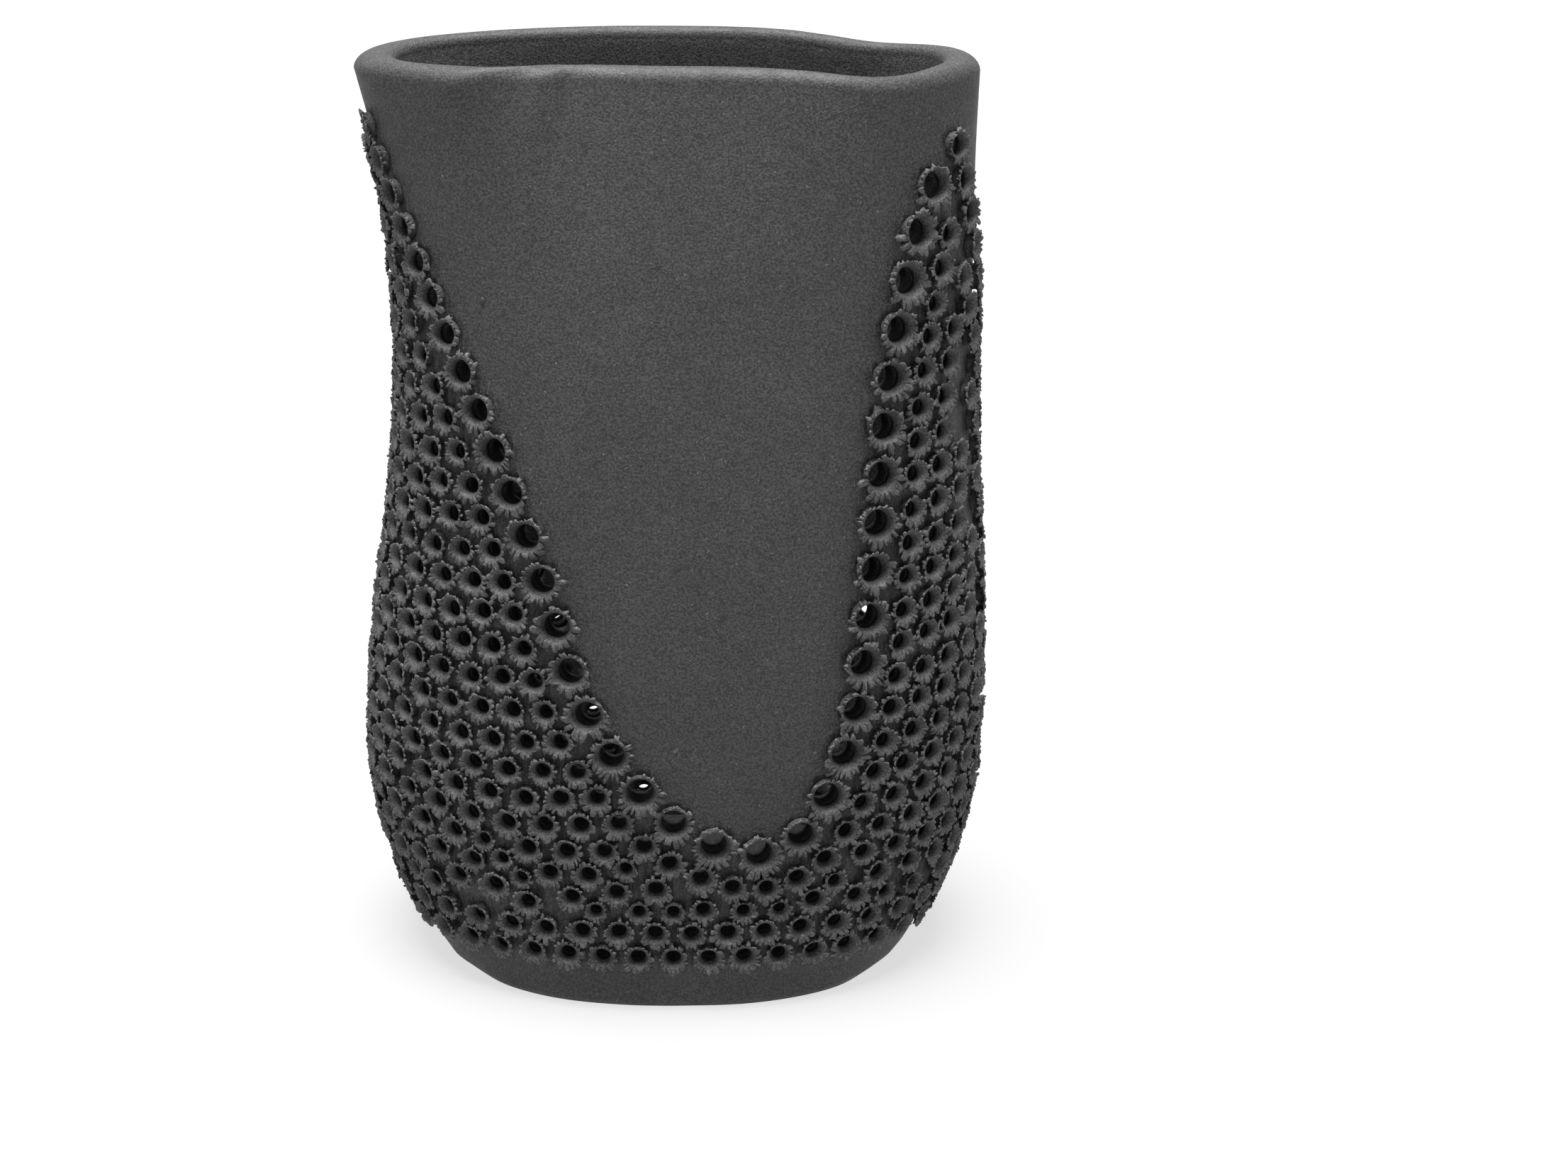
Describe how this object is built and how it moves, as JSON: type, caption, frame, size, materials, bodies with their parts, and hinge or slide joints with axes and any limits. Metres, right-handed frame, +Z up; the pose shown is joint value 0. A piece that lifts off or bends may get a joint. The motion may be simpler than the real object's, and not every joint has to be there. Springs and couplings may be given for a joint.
{
  "type": "clay vase",
  "caption": "Tall flattened black clay vase with a pinched oval mouth, a bare tongue-shaped panel on each face and pierced, flared clay collars over the rest of its wall.",
  "frame": {"origin": "middle of the foot, on the ground", "axes": "+Z up through the mouth, -Y towards the front face, +X towards the viewer's right"},
  "size_m": [0.2176, 0.1407, 0.3115],
  "materials": {
    "wall_clay": "matte, fine sandy grain",
    "floor_clay": "matte",
    "edge_clay": "matte",
    "field_clay": "matte"
  },
  "bodies": {
    "root": {"vase_wall": "wall_clay", "floor_slab": "floor_clay", "edge_front": "edge_clay", "edge_back": "edge_clay", "foot_row": "field_clay", "fill_row": "field_clay", "front_row_1": "field_clay", "front_row_2": "field_clay", "front_row_3": "field_clay", "front_row_4": "field_clay", "front_row_5": "field_clay", "front_row_6": "field_clay", "front_row_7": "field_clay", "front_row_8": "field_clay", "front_row_9": "field_clay", "front_row_10": "field_clay", "back_row_1": "field_clay", "back_row_2": "field_clay", "back_row_3": "field_clay", "back_row_4": "field_clay", "back_row_5": "field_clay", "back_row_6": "field_clay", "back_row_7": "field_clay", "back_row_8": "field_clay", "back_row_9": "field_clay", "back_row_10": "field_clay"}
  },
  "joints": []
}
